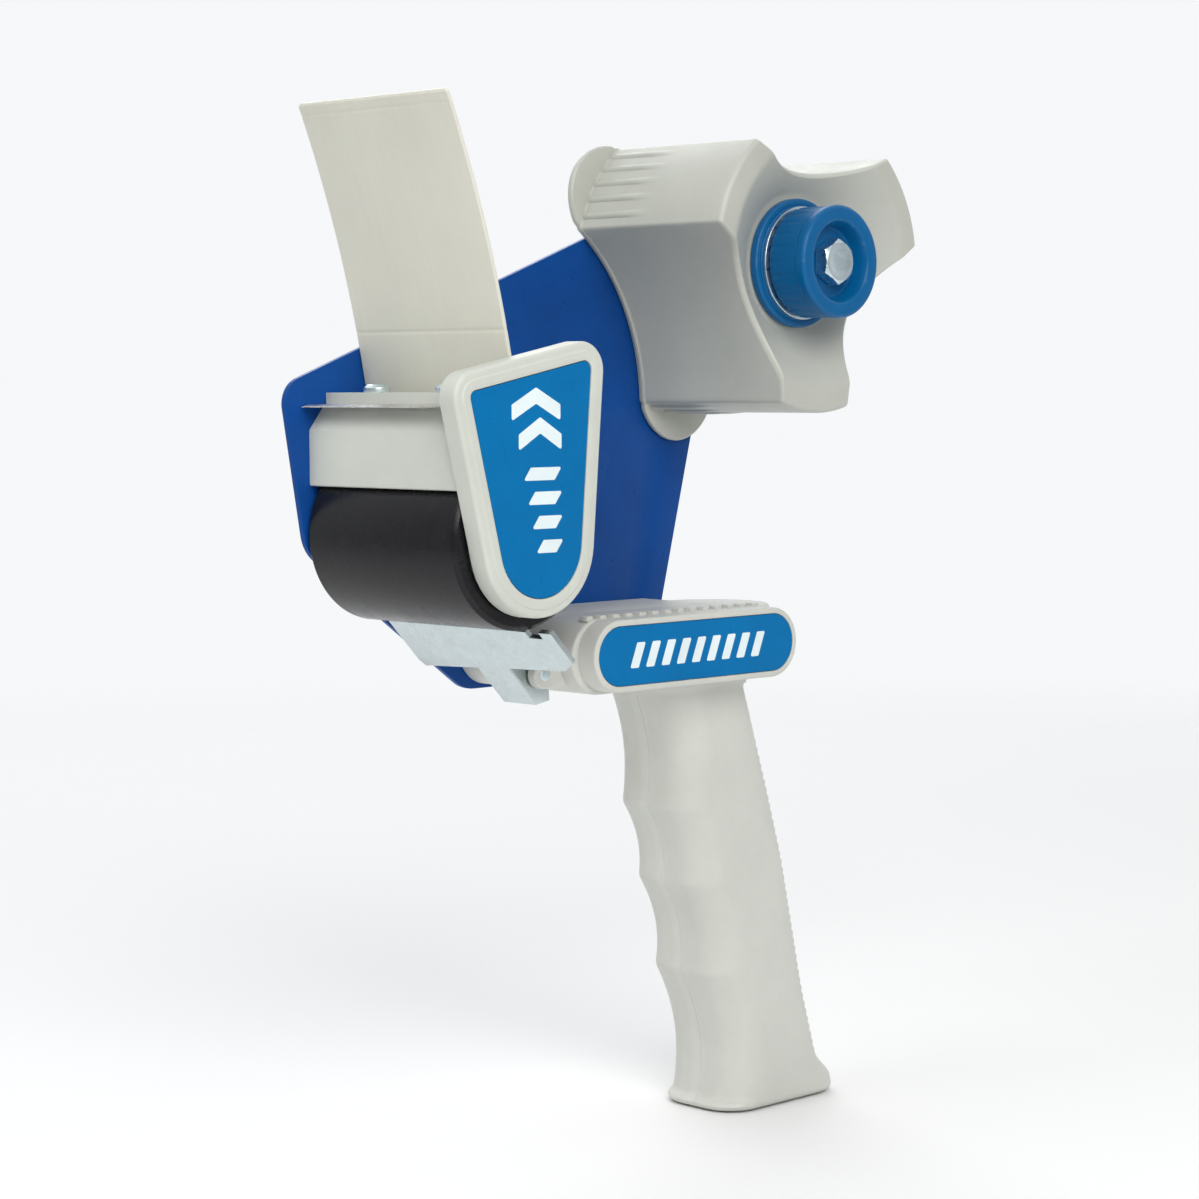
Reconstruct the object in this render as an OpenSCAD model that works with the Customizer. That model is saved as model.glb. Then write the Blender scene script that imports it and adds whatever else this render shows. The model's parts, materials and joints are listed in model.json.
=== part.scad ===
// Hand-held tape gun dispenser for 50 mm packing tape on 76 mm cores.
// Frame: origin on the tape hub's axis, midway across the tape's width.
// +Z is up along the gun, +X is to the rear, +Y is from the open side to the side plate.

/* [Frame] */
// Clear gap between the side plate and the front arm
tape_gap = 52.5; // [52:0.5:54]
// Thickness of the steel side plate
plate_t = 1.5; // [1.2:0.1:2]
// Thickness of the front arm
arm_t = 6; // [5.5:0.5:8]

/* [Tape hub] */
// Radius of the three lobes that carry the cardboard core
lobe_r = 37.2; // [36.8:0.1:37.4]
// Radius of the flange behind the lobes
flange_r = 44.6; // [42:0.2:46]
// Distance from the axis to the hollow flanks between the lobes
waist_r = 22.5; // [21:0.5:24]
// Length of the hub along its axis
hub_len = 49.6; // [48:0.1:49.8]
// Thickness of the hub's rear flange
flange_t = 1.7; // [1.5:0.1:2.5]
// Angle at which the hub rests
hub_rest = -3; // [-10:1:10]
// Wall thickness of the hub moulding
hub_wall = 2.5; // [2:0.1:3]

/* [Brake knob] */
// Radius of the knob's front rim
knob_r = 13.9; // [13:0.1:15]
// Number of flutes round the knob
knob_flutes = 24; // [16:1:30]
// Radius of the friction disc
disc_r = 16; // [14.5:0.5:17]
// Radius of the clamp bolt's shank, for an M6 thread
bolt_r = 2.95; // [2.9:0.01:2.96]

/* [Roller] */
// Radius of the applicator roller
roller_r = 20.5; // [19.5:0.1:20.5]
// Roller axis, measured along X from the hub axis
roller_x = -103; // [-104:0.5:-102]
// Roller axis, measured along Z from the hub axis
roller_z = -64.5; // [-65:0.5:-64]
// Radius of the roller's axle
axle_r = 3; // [2.5:0.1:3]

/* [Blade] */
// Number of teeth along the cutting edge
blade_teeth = 34; // [24:1:40]
// Thickness of the blade
blade_t = 0.8; // [0.6:0.1:0.8]
// How far the teeth stand in front of the clamp strip
blade_reach = 8; // [6:0.5:9]

/* [Flap] */
// Thickness of the flexible flap
flap_t = 1; // [0.8:0.1:1]
// Height of the flap's free edge above the hub axis
flap_top = 34.5; // [25:0.5:40]

/* [Handle] */
// Width of the grip across the hand
grip_w = 28; // [26:1:30]
// Depth of the finger grooves, as a share of their length
groove_share = 0.11; // [0.04:0.01:0.13]
// Height of the grip's butt, measured from the hub axis
butt_z = -213; // [-216:1:-212]
// Wall thickness of the handle shells
handle_wall = 3; // [2.5:0.5:3.5]

/* [Guide] */
// Thickness of the guide plate's steel sheet
guide_t = 1.2; // [1:0.1:1.4]
// Radius of the guide plate's pivot pin
guide_pin_r = 1.5; // [1.2:0.1:1.6]

/* [Hidden] */
$fn = 64;

plate_in = tape_gap / 2;
plate_out = plate_in + plate_t;
arm_in = -tape_gap / 2;
arm_out = arm_in - arm_t;
run_gap = 0.06;
hole_gap = 0.05;
side_gap = 0.6;

hub_far = plate_in - 0.35;
hub_near = hub_far - hub_len;
flank_r = 55;
dish_y = -14.2;
spindle_r = 6;
spindle_collar_y = plate_in - 1.25;
disc_t = 2.3;
disc_y = dish_y - 0.2 - disc_t;
washer_t = 1;
washer_y = disc_y - 0.2 - washer_t;
knob_back = -18.6;
knob_front = -30.4;
seat_y = -24.6;
seat_t = 0.7;
seat_travel = 0.65;
bolt_head_y = -26;

roller = [roller_x, roller_z];
roller_half = plate_in - side_gap;
core_r = roller_r - 4;

// Front arm outline: three rounded corners, each [x, z, radius]
arm_corners = [[-122.3, -32.5, 6], [-89.5, -26.5, 6.5], [roller_x, -65, 16.8]];
label_inset = 4.4;
label_t = 0.6;

// Side plate outline: five rounded corners, each [x, z, radius]
plate_corners = [[0, 1.5, 16.4], [-122.5, -34, 6.5], [-114.5, -63, 9.5],
                 [-71.5, -94.5, 9.5], [-14.4, -99, 5]];

bar_top = -34.8;
bar_front = -122;
clamp_front = -117;
clamp_back = -109.5;
clamp_h = 2.6;
blade_tip = clamp_front - blade_reach;
blade_z = bar_top;
clamp_z = bar_top + blade_t;
blade_screw_x = -113;
blade_screw_y = 12.5;

// The flap is part of a large cylinder, so it leans forward more towards its free edge
flap_curve_r = 295;
flap_centre = [-395.4, -82.2];
flap_foot = -42;
crease_z = -17.4;
crease_gap = 0.3;
flap_half = plate_in - 0.5;

block_r = 9;
block_z = -94;
block_front = -67.5;
block_back = -14;
boss_r = 8.6;
boss_z = -93.6;
boss_front = -66.4;
boss_back = -13.4;
boss_y = -20;
block_near = -14;
split_y = 3;
grip_top = -90;
// Ridges between the finger grooves down the grip's front, each [z, x]
grip_ridges = [[-80, -46], [-103, -40.3], [-134.2, -34.8], [-154, -29.2], [-177.7, -23.3],
               [-213, -17.9]];
// The grip's back edge, which swells into the palm, each [z, x]
grip_spine = [[-90, -15], [-107, -9], [-134, -0.2], [-150, 4.5], [-166, 8], [-185, 12.2],
              [-203, 17.8], [-216, 22]];
grip_round = 9;
flare_h = 5;
flare_front = -17.9;
flare_back = 23.3;
handle_screw_x = [-64, -40, -18];
bracket_screw_at = [[-117, -42.5], [-108.4, -38.4]];
grip_screw_at = [[-20, -124], [2, -200]];

guide_pivot = [-81, -97.5];
guide_top = [-99.6, -85.6];
guide_slope = 46.5;
guide_drop = 15.6;
guide_corner = [10, 12.8];
stem_drop = 26.5;
guide_near = -31;
guide_far = plate_in - 1.2;
stem_y = [-6.5, 4.5];
lug_t = 2.5;

// ---------- helpers ----------

// Extrudes an outline drawn in X and Z between two places along Y
module slab(y0, y1) {
    translate([0, y1, 0])
        rotate([90, 0, 0])
            linear_extrude(y1 - y0)
                children();
}

// Round bar along Y, at [x, z]
module rod(at, r, y0, y1) {
    translate([at[0], y0, at[1]])
        rotate([-90, 0, 0])
            cylinder(r = r, h = y1 - y0);
}

// Tapered round bar along Y, at [x, z]
module cone_rod(at, r0, r1, y0, y1) {
    translate([at[0], y0, at[1]])
        rotate([-90, 0, 0])
            cylinder(r1 = r0, r2 = r1, h = y1 - y0);
}

// Six-sided bar along Y with a corner upwards, sized across its flats
module hex_rod(at, across, y0, y1) {
    translate([at[0], y0, at[1]])
        rotate([-90, 0, 0])
            rotate([0, 0, 30])
                cylinder(r = across / 2 / cos(30), h = y1 - y0, $fn = 6);
}

// Outline with rounded corners, each [x, z, radius], shrunk by inset
module rounded_outline(corners, inset = 0) {
    hull()
        for (c = corners)
            translate([c[0], c[1]])
                circle(r = c[2] - inset, $fn = 72);
}

// Bar outline with round ends
module stadium(x0, x1, z, r) {
    for (x = [x0, x1])
        translate([x, z])
            circle(r = r);
    translate([x0, z - r])
        square([x1 - x0, 2 * r]);
}

// Pan head screw pointing down -Z, its head's underside at the origin
module pan_screw(shank_r, length, head_r, head_h) {
    difference() {
        union() {
            cylinder(r = head_r, h = head_h * 0.6);
            translate([0, 0, head_h * 0.6])
                cylinder(r1 = head_r, r2 = head_r * 0.72, h = head_h * 0.4);
        }
        for (a = [0, 90])
            rotate([0, 0, a])
                translate([-head_r * 0.5, -0.4, head_h - 0.9])
                    cube([head_r, 0.8, 2]);
    }
    translate([0, 0, -length])
        cylinder(r = shank_r, h = length);
}

// The same screw seated on a face at y, driven towards -Y
module side_screw(at, y, shank_r, length, head_r, head_h) {
    translate([at[0], y, at[1]])
        rotate([-90, 0, 0])
            pan_screw(shank_r, length, head_r, head_h);
}

// ---------- steel frame ----------

module side_plate() {
    color("midnightblue")
        difference() {
            slab(plate_in, plate_out)
                rounded_outline(plate_corners);
            rod([0, 0], spindle_r + hole_gap, plate_in - 1, plate_out + 1);
            rod(roller, axle_r + hole_gap, plate_in - 1, plate_out + 1);
            for (at = bracket_screw_at)
                rod(at, 2 + hole_gap, plate_in - 1, plate_out + 1);
            for (x = handle_screw_x)
                rod([x, block_z], 2 + hole_gap, plate_in - 1, plate_out + 1);
        }
}

module hub_spindle() {
    color("silver")
        difference() {
            union() {
                rod([0, 0], spindle_r, disc_y - 0.9, plate_out);
                rod([0, 0], 10, spindle_collar_y, plate_in);
                cone_rod([0, 0], 9, 7.5, plate_out, plate_out + 1.8);
            }
            rod([0, 0], bolt_r + hole_gap, disc_y - 2, plate_out + 3);
        }
}

// ---------- front bracket ----------

module bar_section() {
    polygon([[bar_front, -53], [bar_front, -40], [-118.5, -35.5], [-117.8, bar_top],
             [-104.85, bar_top], [-103.8, flap_foot], [-106.8, flap_foot], [-107.5, -37.8],
             [-116.6, -37.8], [-119, -41.5], [-119, -50.5], [-120.7, -53]]);
}

module bar_end_section() {
    polygon([[bar_front, -53], [bar_front, -40], [-118.5, -35.5], [-117.8, bar_top],
             [-104.85, bar_top], [-103.8, flap_foot], [-112, flap_foot], [-119, -50.5],
             [-120.7, -53]]);
}

module front_bracket() {
    color("gainsboro")
        difference() {
            union() {
                slab(arm_out, arm_in)
                    rounded_outline(arm_corners);
                slab(arm_in - 1, plate_in)
                    bar_section();
                slab(plate_in - 6, plate_in)
                    bar_end_section();
            }
            slab(arm_out - 1, arm_out + label_t + 0.3)
                rounded_outline(arm_corners, label_inset);
            rod(roller, axle_r + hole_gap, arm_in - 4, arm_in + 1);
            for (at = bracket_screw_at)
                rod(at, 2 + hole_gap, plate_in - 8, plate_in + 1);
            for (s = [-1, 1])
                translate([blade_screw_x, s * blade_screw_y, bar_top - 5])
                    cylinder(r = 1.6 + hole_gap, h = 6);
            for (s = [-1, 1])
                flap_screw_place(s)
                    translate([0, 0, -5])
                        cylinder(r = 1.5 + hole_gap, h = 10);
        }
}

module arm_label() {
    color("steelblue")
        slab(arm_out + 0.3, arm_out + label_t + 0.3)
            rounded_outline(arm_corners, label_inset + 0.1);
}

module bracket_screws() {
    color("silver")
        for (at = bracket_screw_at)
            side_screw(at, plate_out, 2, plate_t + 5.5, 3.9, 2.4);
}

// ---------- blade ----------

module cutting_blade() {
    half = plate_in - 0.35;
    pitch = 2 * half / blade_teeth;
    tooth_h = 1.5;
    edge = [for (i = [0 : blade_teeth - 1], k = [0, 1])
                [blade_tip + (k == 0 ? tooth_h : 0), -half + (i + k / 2) * pitch]];
    color("lightsteelblue")
        translate([0, 0, blade_z])
            difference() {
                linear_extrude(blade_t)
                    polygon(concat(edge, [[blade_tip + tooth_h, half], [clamp_back, half],
                                          [clamp_back, -half]]));
                for (s = [-1, 1])
                    translate([blade_screw_x, s * blade_screw_y, -1])
                        cylinder(r = 1.6 + hole_gap, h = 4);
            }
}

module blade_clamp() {
    color("gainsboro")
        difference() {
            translate([clamp_front, -plate_in + 0.1, clamp_z])
                cube([clamp_back - clamp_front, 2 * plate_in - 0.2, clamp_h]);
            for (s = [-1, 1])
                translate([blade_screw_x, s * blade_screw_y, clamp_z - 1])
                    cylinder(r = 1.6 + hole_gap, h = 5);
        }
}

module blade_screws() {
    color("silver")
        for (s = [-1, 1])
            translate([blade_screw_x, s * blade_screw_y, clamp_z + clamp_h])
                pan_screw(1.6, 6, 3.1, 1.9);
}

// ---------- flap ----------

// Angle up the flap's cylinder at a height z
function flap_angle(z) = asin((z - flap_centre[1]) / flap_curve_r);
// Distance of the flap's middle surface along X at a height z
function flap_x(z) = flap_centre[0] + flap_curve_r * cos(flap_angle(z));

// Flap section between two heights, thickened or shifted by inner and outer radii
module flap_section(z0, z1, r_in, r_out) {
    far = 2 * flap_curve_r;
    translate(flap_centre)
        intersection() {
            difference() {
                circle(r = r_out, $fn = 360);
                circle(r = r_in, $fn = 360);
            }
            polygon([[0, 0], far * [cos(flap_angle(z0)), sin(flap_angle(z0))],
                     far * [cos(flap_angle(z1)), sin(flap_angle(z1))]]);
        }
}

// Puts a screw's axis square to the flap's foot, pointing forwards
module flap_screw_place(s) {
    z = -38.4;
    translate([flap_x(z), s * 17, z])
        rotate([0, 90 - flap_angle(z), 0])
            children();
}

module flap_root() {
    color("tan")
        difference() {
            slab(-flap_half, flap_half)
                flap_section(flap_foot, crease_z - crease_gap, flap_curve_r - flap_t / 2,
                             flap_curve_r + flap_t / 2);
            for (s = [-1, 1])
                flap_screw_place(s)
                    translate([0, 0, -5])
                        cylinder(r = 1.5 + hole_gap, h = 10);
        }
}

module flap_clip() {
    color("silver")
        difference() {
            slab(-flap_half + 1, flap_half - 1)
                flap_section(flap_foot, -31, flap_curve_r + flap_t / 2 + 0.02,
                             flap_curve_r + flap_t / 2 + 1.22);
            for (s = [-1, 1])
                flap_screw_place(s)
                    translate([0, 0, -5])
                        cylinder(r = 1.5 + hole_gap, h = 10);
        }
}

module flap_screws() {
    color("silver")
        for (s = [-1, 1])
            flap_screw_place(s)
                translate([0, 0, flap_t / 2 + 1.24])
                    pan_screw(1.5, 5, 2.7, 1.7);
}

module flap_blade() {
    color("tan")
        slab(-flap_half, flap_half)
            flap_section(crease_z + crease_gap, flap_top, flap_curve_r - flap_t / 2,
                         flap_curve_r + flap_t / 2);
}

// ---------- roller ----------

module roller_sleeve() {
    color("dimgray")
        difference() {
            rod(roller, roller_r, -roller_half, roller_half);
            rod(roller, core_r, -roller_half - 1, roller_half + 1);
        }
}

module roller_core() {
    web = 3;
    color("darkslategray")
        difference() {
            rod(roller, core_r, -roller_half, roller_half);
            for (s = [-1, 1])
                difference() {
                    rod(roller, core_r - 3, s > 0 ? web : -roller_half - 1,
                        s > 0 ? roller_half + 1 : -web);
                    rod(roller, 7, -roller_half - 2, roller_half + 2);
                }
            rod(roller, axle_r + run_gap, -roller_half - 2, roller_half + 2);
        }
}

module roller_axle() {
    color("silver") {
        rod(roller, axle_r, arm_in - 3.8, plate_out + 1);
        hex_rod(roller, 10, plate_out, plate_out + 4);
    }
}

// ---------- tape hub ----------

// Three-lobed outline: a disc less three large flank circles
module lobe_outline(r, wall = 0) {
    difference() {
        circle(r = r - wall, $fn = 120);
        for (a = [90, 210, 330])
            rotate(a + hub_rest)
                translate([waist_r + flank_r, 0])
                    circle(r = flank_r + wall, $fn = 120);
    }
}

module tape_hub() {
    rib_r = 0.9;
    color("whitesmoke")
        difference() {
            union() {
                slab(hub_near, hub_far)
                    lobe_outline(lobe_r);
                slab(hub_far - flange_t, hub_far)
                    lobe_outline(flange_r);
                for (lobe = [150, 30, -90], k = [-2 : 2])
                    let (a = lobe + hub_rest + k * 7)
                        rod([(lobe_r - 0.1) * cos(a), (lobe_r - 0.1) * sin(a)], rib_r,
                            1, hub_far - 1);
            }
            cone_rod([0, 0], 31, 17, hub_near - 0.01, dish_y);
            difference() {
                slab(dish_y + 3.5, hub_far + 1)
                    lobe_outline(lobe_r, hub_wall);
                rod([0, 0], 10, dish_y, spindle_collar_y - 0.15);
            }
            rod([0, 0], spindle_r + run_gap, dish_y - 1, hub_far + 2);
        }
}

// ---------- tape brake ----------

module friction_disc() {
    color("royalblue")
        difference() {
            rod([0, 0], disc_r, disc_y, disc_y + disc_t);
            rod([0, 0], spindle_r + hole_gap, disc_y - 1, disc_y + disc_t + 1);
        }
}

module thrust_washer() {
    color("silver")
        difference() {
            rod([0, 0], disc_r - 2, washer_y, washer_y + washer_t);
            rod([0, 0], spindle_r + 0.3, washer_y - 1, washer_y + washer_t + 1);
        }
}

// One ring of points round the spring's wire, at angle a and height y
function wire_ring(a, y, coil_r, wire_r, sides) =
    [for (k = [0 : sides - 1])
        let (b = 360 * k / sides, r = coil_r + wire_r * cos(b))
            [r * cos(a), y + wire_r * sin(b), r * sin(a)]];

// Coil spring round the Y axis, with its wire swept along a helix
module coil_spring(coil_r, wire_r, y0, y1, turns, sides = 6, steps = 18) {
    rings = ceil(turns * steps);
    pts = [for (i = [0 : rings])
              each wire_ring(360 * turns * i / rings, y0 + (y1 - y0) * i / rings,
                             coil_r, wire_r, sides)];
    walls = [for (i = [0 : rings - 1], k = [0 : sides - 1])
                let (n = (k + 1) % sides, a = i * sides, b = a + sides)
                    [a + k, b + k, b + n, a + n]];
    start = [[for (k = [0 : sides - 1]) k]];
    finish = [[for (k = [sides - 1 : -1 : 0]) rings * sides + k]];
    polyhedron(concat(pts), concat(walls, start, finish));
}

// It stops short of its seat by the seat's travel towards it
module brake_spring() {
    wire_r = 0.6;
    start = seat_y + seat_t + seat_travel + wire_r;
    color("silver")
        coil_spring(7.9, wire_r, start, washer_y - wire_r - 0.05, 2.5);
}

module spring_seat() {
    color("silver")
        difference() {
            rod([0, 0], 9.2, seat_y, seat_y + seat_t);
            rod([0, 0], 4.5, seat_y - 1, seat_y + 2);
        }
}

module brake_knob() {
    color("dodgerblue")
        difference() {
            union() {
                rod([0, 0], knob_r - 0.6, knob_front + 3, knob_back);
                cone_rod([0, 0], knob_r - 0.9, knob_r, knob_front, knob_front + 0.9);
                rod([0, 0], knob_r, knob_front + 0.9, knob_front + 3);
            }
            for (k = [0 : knob_flutes - 1])
                let (a = 360 * k / knob_flutes)
                    rod([(knob_r - 0.1) * cos(a), (knob_r - 0.1) * sin(a)], 0.9,
                        knob_front + 3, knob_back + 1);
            rod([0, 0], 10, seat_y - 0.3, knob_back + 1);
            cone_rod([0, 0], 9, 8, knob_front - 0.01, bolt_head_y);
            rod([0, 0], bolt_r + hole_gap, knob_front - 1, knob_back + 1);
        }
}

module brake_bolt() {
    color("silver") {
        hex_rod([0, 0], 10, bolt_head_y - 4, bolt_head_y);
        rod([0, 0], bolt_r, bolt_head_y - 1, 18);
    }
}

// ---------- handle ----------

// Depth of the finger grooves at a height z, between the two ridges round it
function groove(z) =
    max([0, for (i = [1 : len(grip_ridges) - 2])
                let (top = grip_ridges[i][0], low = grip_ridges[i + 1][0])
                    if (z < top && z > low)
                        groove_share * (top - low) * sin(180 * (top - z) / (top - low))]);
// Grip's front edge along X, at a height z
function grip_front(z) = lookup(z, grip_ridges) + groove(z);

module grip_outline(inset = 0) {
    bottom = butt_z + inset;
    step = (bottom - grip_top) / 60;
    polygon(concat([for (i = [0 : 60])
                        [grip_front(grip_top + i * step) + inset, grip_top + i * step]],
                   [[lookup(bottom, grip_spine) - inset, bottom]],
                   [for (i = [len(grip_spine) - 2 : -1 : 0])
                        [grip_spine[i][1] - inset, grip_spine[i][0]]]));
}

// Long bar with two rounded corners along its face at x = 0, running back along X
module face_bar(inset) {
    width = grip_w - 2 * inset;
    round = grip_round - inset / 2;
    translate([0, 0, -80])
        linear_extrude(160) {
            translate([round, -width / 2])
                square([50, width]);
            translate([0, round - width / 2])
                square([50, width - 2 * round]);
            for (y = [-1, 1])
                translate([round, y * (width / 2 - round)])
                    circle(r = round);
        }
}

// Rounds the grip's four long corners: one bar leans with its front and one with its back
module grip_envelope(inset = 0) {
    intersection() {
        translate([-30 + inset, split_y, -151])
            rotate([0, -14.6, 0])
                face_bar(inset);
        translate([5 - inset, split_y, -151])
            rotate([0, -15.6, 0])
                mirror([1, 0, 0])
                    face_bar(inset);
    }
}

// Upright block that widens the grip at its butt
module butt_pad() {
    r = grip_round - 1;
    half = grip_w / 2 + 0.3 - r;
    translate([0, 0, butt_z])
        linear_extrude(flare_h)
            hull()
                for (x = [flare_front + r, flare_back - r], y = [-half, half])
                    translate([x, split_y + y])
                        circle(r = r);
}

module handle_solid() {
    slab(block_near, plate_in)
        stadium(block_front, block_back, block_z, block_r);
    slab(boss_y, block_near + 1)
        stadium(boss_front, boss_back, boss_z, boss_r);
    intersection() {
        slab(split_y - grip_w / 2, split_y + grip_w / 2)
            grip_outline();
        grip_envelope();
    }
    butt_pad();
    translate([-12, split_y, -104])
        cylinder(r1 = 6, r2 = 15, h = 12);
    translate([-12, split_y, -92])
        cylinder(r = 15, h = 7);
    for (y = [-lug_t - 0.3 + stem_y[0], stem_y[1] + 0.3])
        difference() {
            slab(y, y + lug_t)
                stadium(guide_pivot[0], block_front, guide_pivot[1], 3.4);
            rod(guide_pivot, guide_pin_r + 0.02, y - 1, y + lug_t + 1);
        }
}

module handle_hollow() {
    intersection() {
        slab(split_y - grip_w / 2 + handle_wall, split_y + grip_w / 2 - handle_wall)
            grip_outline(handle_wall);
        grip_envelope(handle_wall);
    }
    slab(block_near + handle_wall, plate_in - handle_wall)
        stadium(block_front + 1, block_back, block_z, block_r - handle_wall);
}

module screw_pillars() {
    for (at = grip_screw_at)
        rod(at, 5, split_y - grip_w / 2 + 1, split_y + grip_w / 2 - 1);
    for (x = handle_screw_x)
        rod([x, block_z], 4.5, block_near + 1, plate_in);
}

module screw_holes() {
    for (at = grip_screw_at) {
        rod(at, 1.75 + hole_gap, split_y - 10, split_y + 20);
        rod(at, 3.4, split_y + 9, split_y + 20);
    }
    for (x = handle_screw_x)
        rod([x, block_z], 2 + hole_gap, plate_in - 16, plate_in + 1);
}

module handle_body() {
    difference() {
        union() {
            difference() {
                handle_solid();
                handle_hollow();
            }
            screw_pillars();
        }
        screw_holes();
    }
}

module handle_near_shell() {
    color("lightgray")
        difference() {
            intersection() {
                handle_body();
                translate([-150, -60, -240])
                    cube([300, 60 + split_y, 200]);
            }
            slab(boss_y - 1, boss_y + label_t + 0.2)
                stadium(boss_front, boss_back, boss_z, boss_r - 1.5);
        }
}

module handle_far_shell() {
    color("lightgray")
        intersection() {
            handle_body();
            translate([-150, split_y, -240])
                cube([300, 60, 200]);
        }
}

module handle_label() {
    color("steelblue")
        slab(boss_y + 0.2, boss_y + label_t + 0.2)
            stadium(boss_front, boss_back, boss_z, boss_r - 1.6);
}

module handle_screws() {
    color("silver")
        for (x = handle_screw_x)
            side_screw([x, block_z], plate_out, 2, plate_t + 14, 3.9, 2.4);
}

module grip_screws() {
    color("silver")
        for (at = grip_screw_at)
            side_screw(at, split_y + 9, 1.75, 17, 3.2, 2);
}

// ---------- tape guide ----------

// Point on the guide's sheet, v down its slope and n behind its front face
function guide_at(v, n = 0) =
    [guide_top[0] + v * cos(guide_slope) + n * sin(guide_slope),
     guide_top[1] - v * sin(guide_slope) + n * cos(guide_slope)];

// The T-shaped sheet before it is set at its slope: down the slope along X, across along Y
module guide_blank() {
    difference() {
        polygon([[0, guide_far], [0, guide_near], [guide_corner[0], guide_near],
                 [guide_corner[1], guide_near + 4.5], [guide_drop - 1.8, stem_y[0]],
                 [stem_drop, stem_y[0]], [stem_drop, stem_y[1]],
                 [guide_drop - 1.1, stem_y[1]], [guide_drop, guide_far - 1],
                 [guide_drop - 2, guide_far]]);
        translate([-1, guide_near + 4])
            square([3, 4.5]);
    }
}

module guide_plate() {
    color("lightsteelblue") {
        translate([guide_top[0], 0, guide_top[1]])
            rotate([0, guide_slope, 0])
                linear_extrude(guide_t)
                    guide_blank();
        for (y = [stem_y[0], stem_y[1] - guide_t])
            difference() {
                slab(y, y + guide_t)
                    polygon([guide_at(guide_drop - 0.5), guide_at(stem_drop),
                             [-77, -104], [-77.6, -94.6], [-83.5, -92.5]]);
                rod(guide_pivot, guide_pin_r + run_gap, y - 1, y + guide_t + 1);
            }
    }
}

module guide_pin() {
    color("silver")
        rod(guide_pivot, guide_pin_r, stem_y[0] - lug_t - 0.6, stem_y[1] + lug_t + 0.6);
}

module guide_spring() {
    wire_r = 0.4;
    coil_r = 2.4;
    inner = [stem_y[0] + guide_t + 0.6, stem_y[1] - guide_t - 0.6];
    color("silver")
        translate([guide_pivot[0], 0, guide_pivot[1]]) {
            coil_spring(coil_r, wire_r, inner[0] + wire_r, inner[1] - wire_r, 7);
            translate([0, inner[0] + wire_r, coil_r])
                rotate([0, 90, 0])
                    cylinder(r = wire_r, h = 4);
        }
}

side_plate();
front_bracket();
arm_label();
bracket_screws();
cutting_blade();
blade_clamp();
blade_screws();
flap_root();
flap_clip();
flap_screws();
flap_blade();
roller_sleeve();
roller_core();
roller_axle();
hub_spindle();
tape_hub();
friction_disc();
thrust_washer();
brake_spring();
spring_seat();
brake_knob();
brake_bolt();
handle_near_shell();
handle_far_shell();
handle_label();
handle_screws();
grip_screws();
guide_plate();
guide_pin();
guide_spring();
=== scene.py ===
"""Looks of the tape gun dispenser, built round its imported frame.

Shapes are worked out in millimetres and become metres when a mesh is made.
X runs to the rear, Y from the open side to the steel plate, Z up along the gun.
"""
import json
import math

import bmesh
import bpy
import numpy as np
from mathutils import Matrix, Vector


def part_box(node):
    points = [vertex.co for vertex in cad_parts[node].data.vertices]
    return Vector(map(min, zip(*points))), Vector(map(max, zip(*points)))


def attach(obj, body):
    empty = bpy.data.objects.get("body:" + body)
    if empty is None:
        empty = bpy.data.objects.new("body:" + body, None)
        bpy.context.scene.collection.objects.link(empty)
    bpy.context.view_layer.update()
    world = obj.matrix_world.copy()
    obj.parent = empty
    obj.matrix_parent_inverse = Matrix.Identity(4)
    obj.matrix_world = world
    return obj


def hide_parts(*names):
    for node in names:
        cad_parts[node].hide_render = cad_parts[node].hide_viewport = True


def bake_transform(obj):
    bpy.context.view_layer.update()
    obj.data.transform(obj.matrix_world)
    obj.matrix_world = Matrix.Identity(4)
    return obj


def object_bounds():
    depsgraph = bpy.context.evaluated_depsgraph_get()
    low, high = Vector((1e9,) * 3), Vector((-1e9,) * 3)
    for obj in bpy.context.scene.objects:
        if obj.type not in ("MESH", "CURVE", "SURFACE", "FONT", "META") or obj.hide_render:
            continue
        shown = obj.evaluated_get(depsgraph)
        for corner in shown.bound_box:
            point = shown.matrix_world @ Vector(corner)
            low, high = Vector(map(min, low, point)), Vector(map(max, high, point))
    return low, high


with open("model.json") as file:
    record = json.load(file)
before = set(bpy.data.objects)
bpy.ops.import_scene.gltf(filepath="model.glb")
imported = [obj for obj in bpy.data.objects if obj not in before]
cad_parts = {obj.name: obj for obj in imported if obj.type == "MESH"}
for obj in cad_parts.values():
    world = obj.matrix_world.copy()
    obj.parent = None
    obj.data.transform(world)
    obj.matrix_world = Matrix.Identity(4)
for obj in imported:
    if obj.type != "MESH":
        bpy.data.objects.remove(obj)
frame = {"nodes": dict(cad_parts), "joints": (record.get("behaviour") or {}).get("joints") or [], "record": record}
cad_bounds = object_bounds()

MM = 0.001
TURN = 2 * math.pi
SHARP = 32
BODY_OF = {node: body for body, nodes in frame["record"]["behaviour"]["bodies"].items()
           for node in nodes}
JOINT_AT = {joint["name"]: np.array(joint.get("pos_m", (0, 0, 0))) / MM
            for joint in frame["joints"]}


def box_mm(node):
    """Lowest and highest corner of a CAD node, in millimetres."""
    low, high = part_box(node)
    return np.array(low) / MM, np.array(high) / MM


# ---------- outlines and lofts ----------

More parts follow.
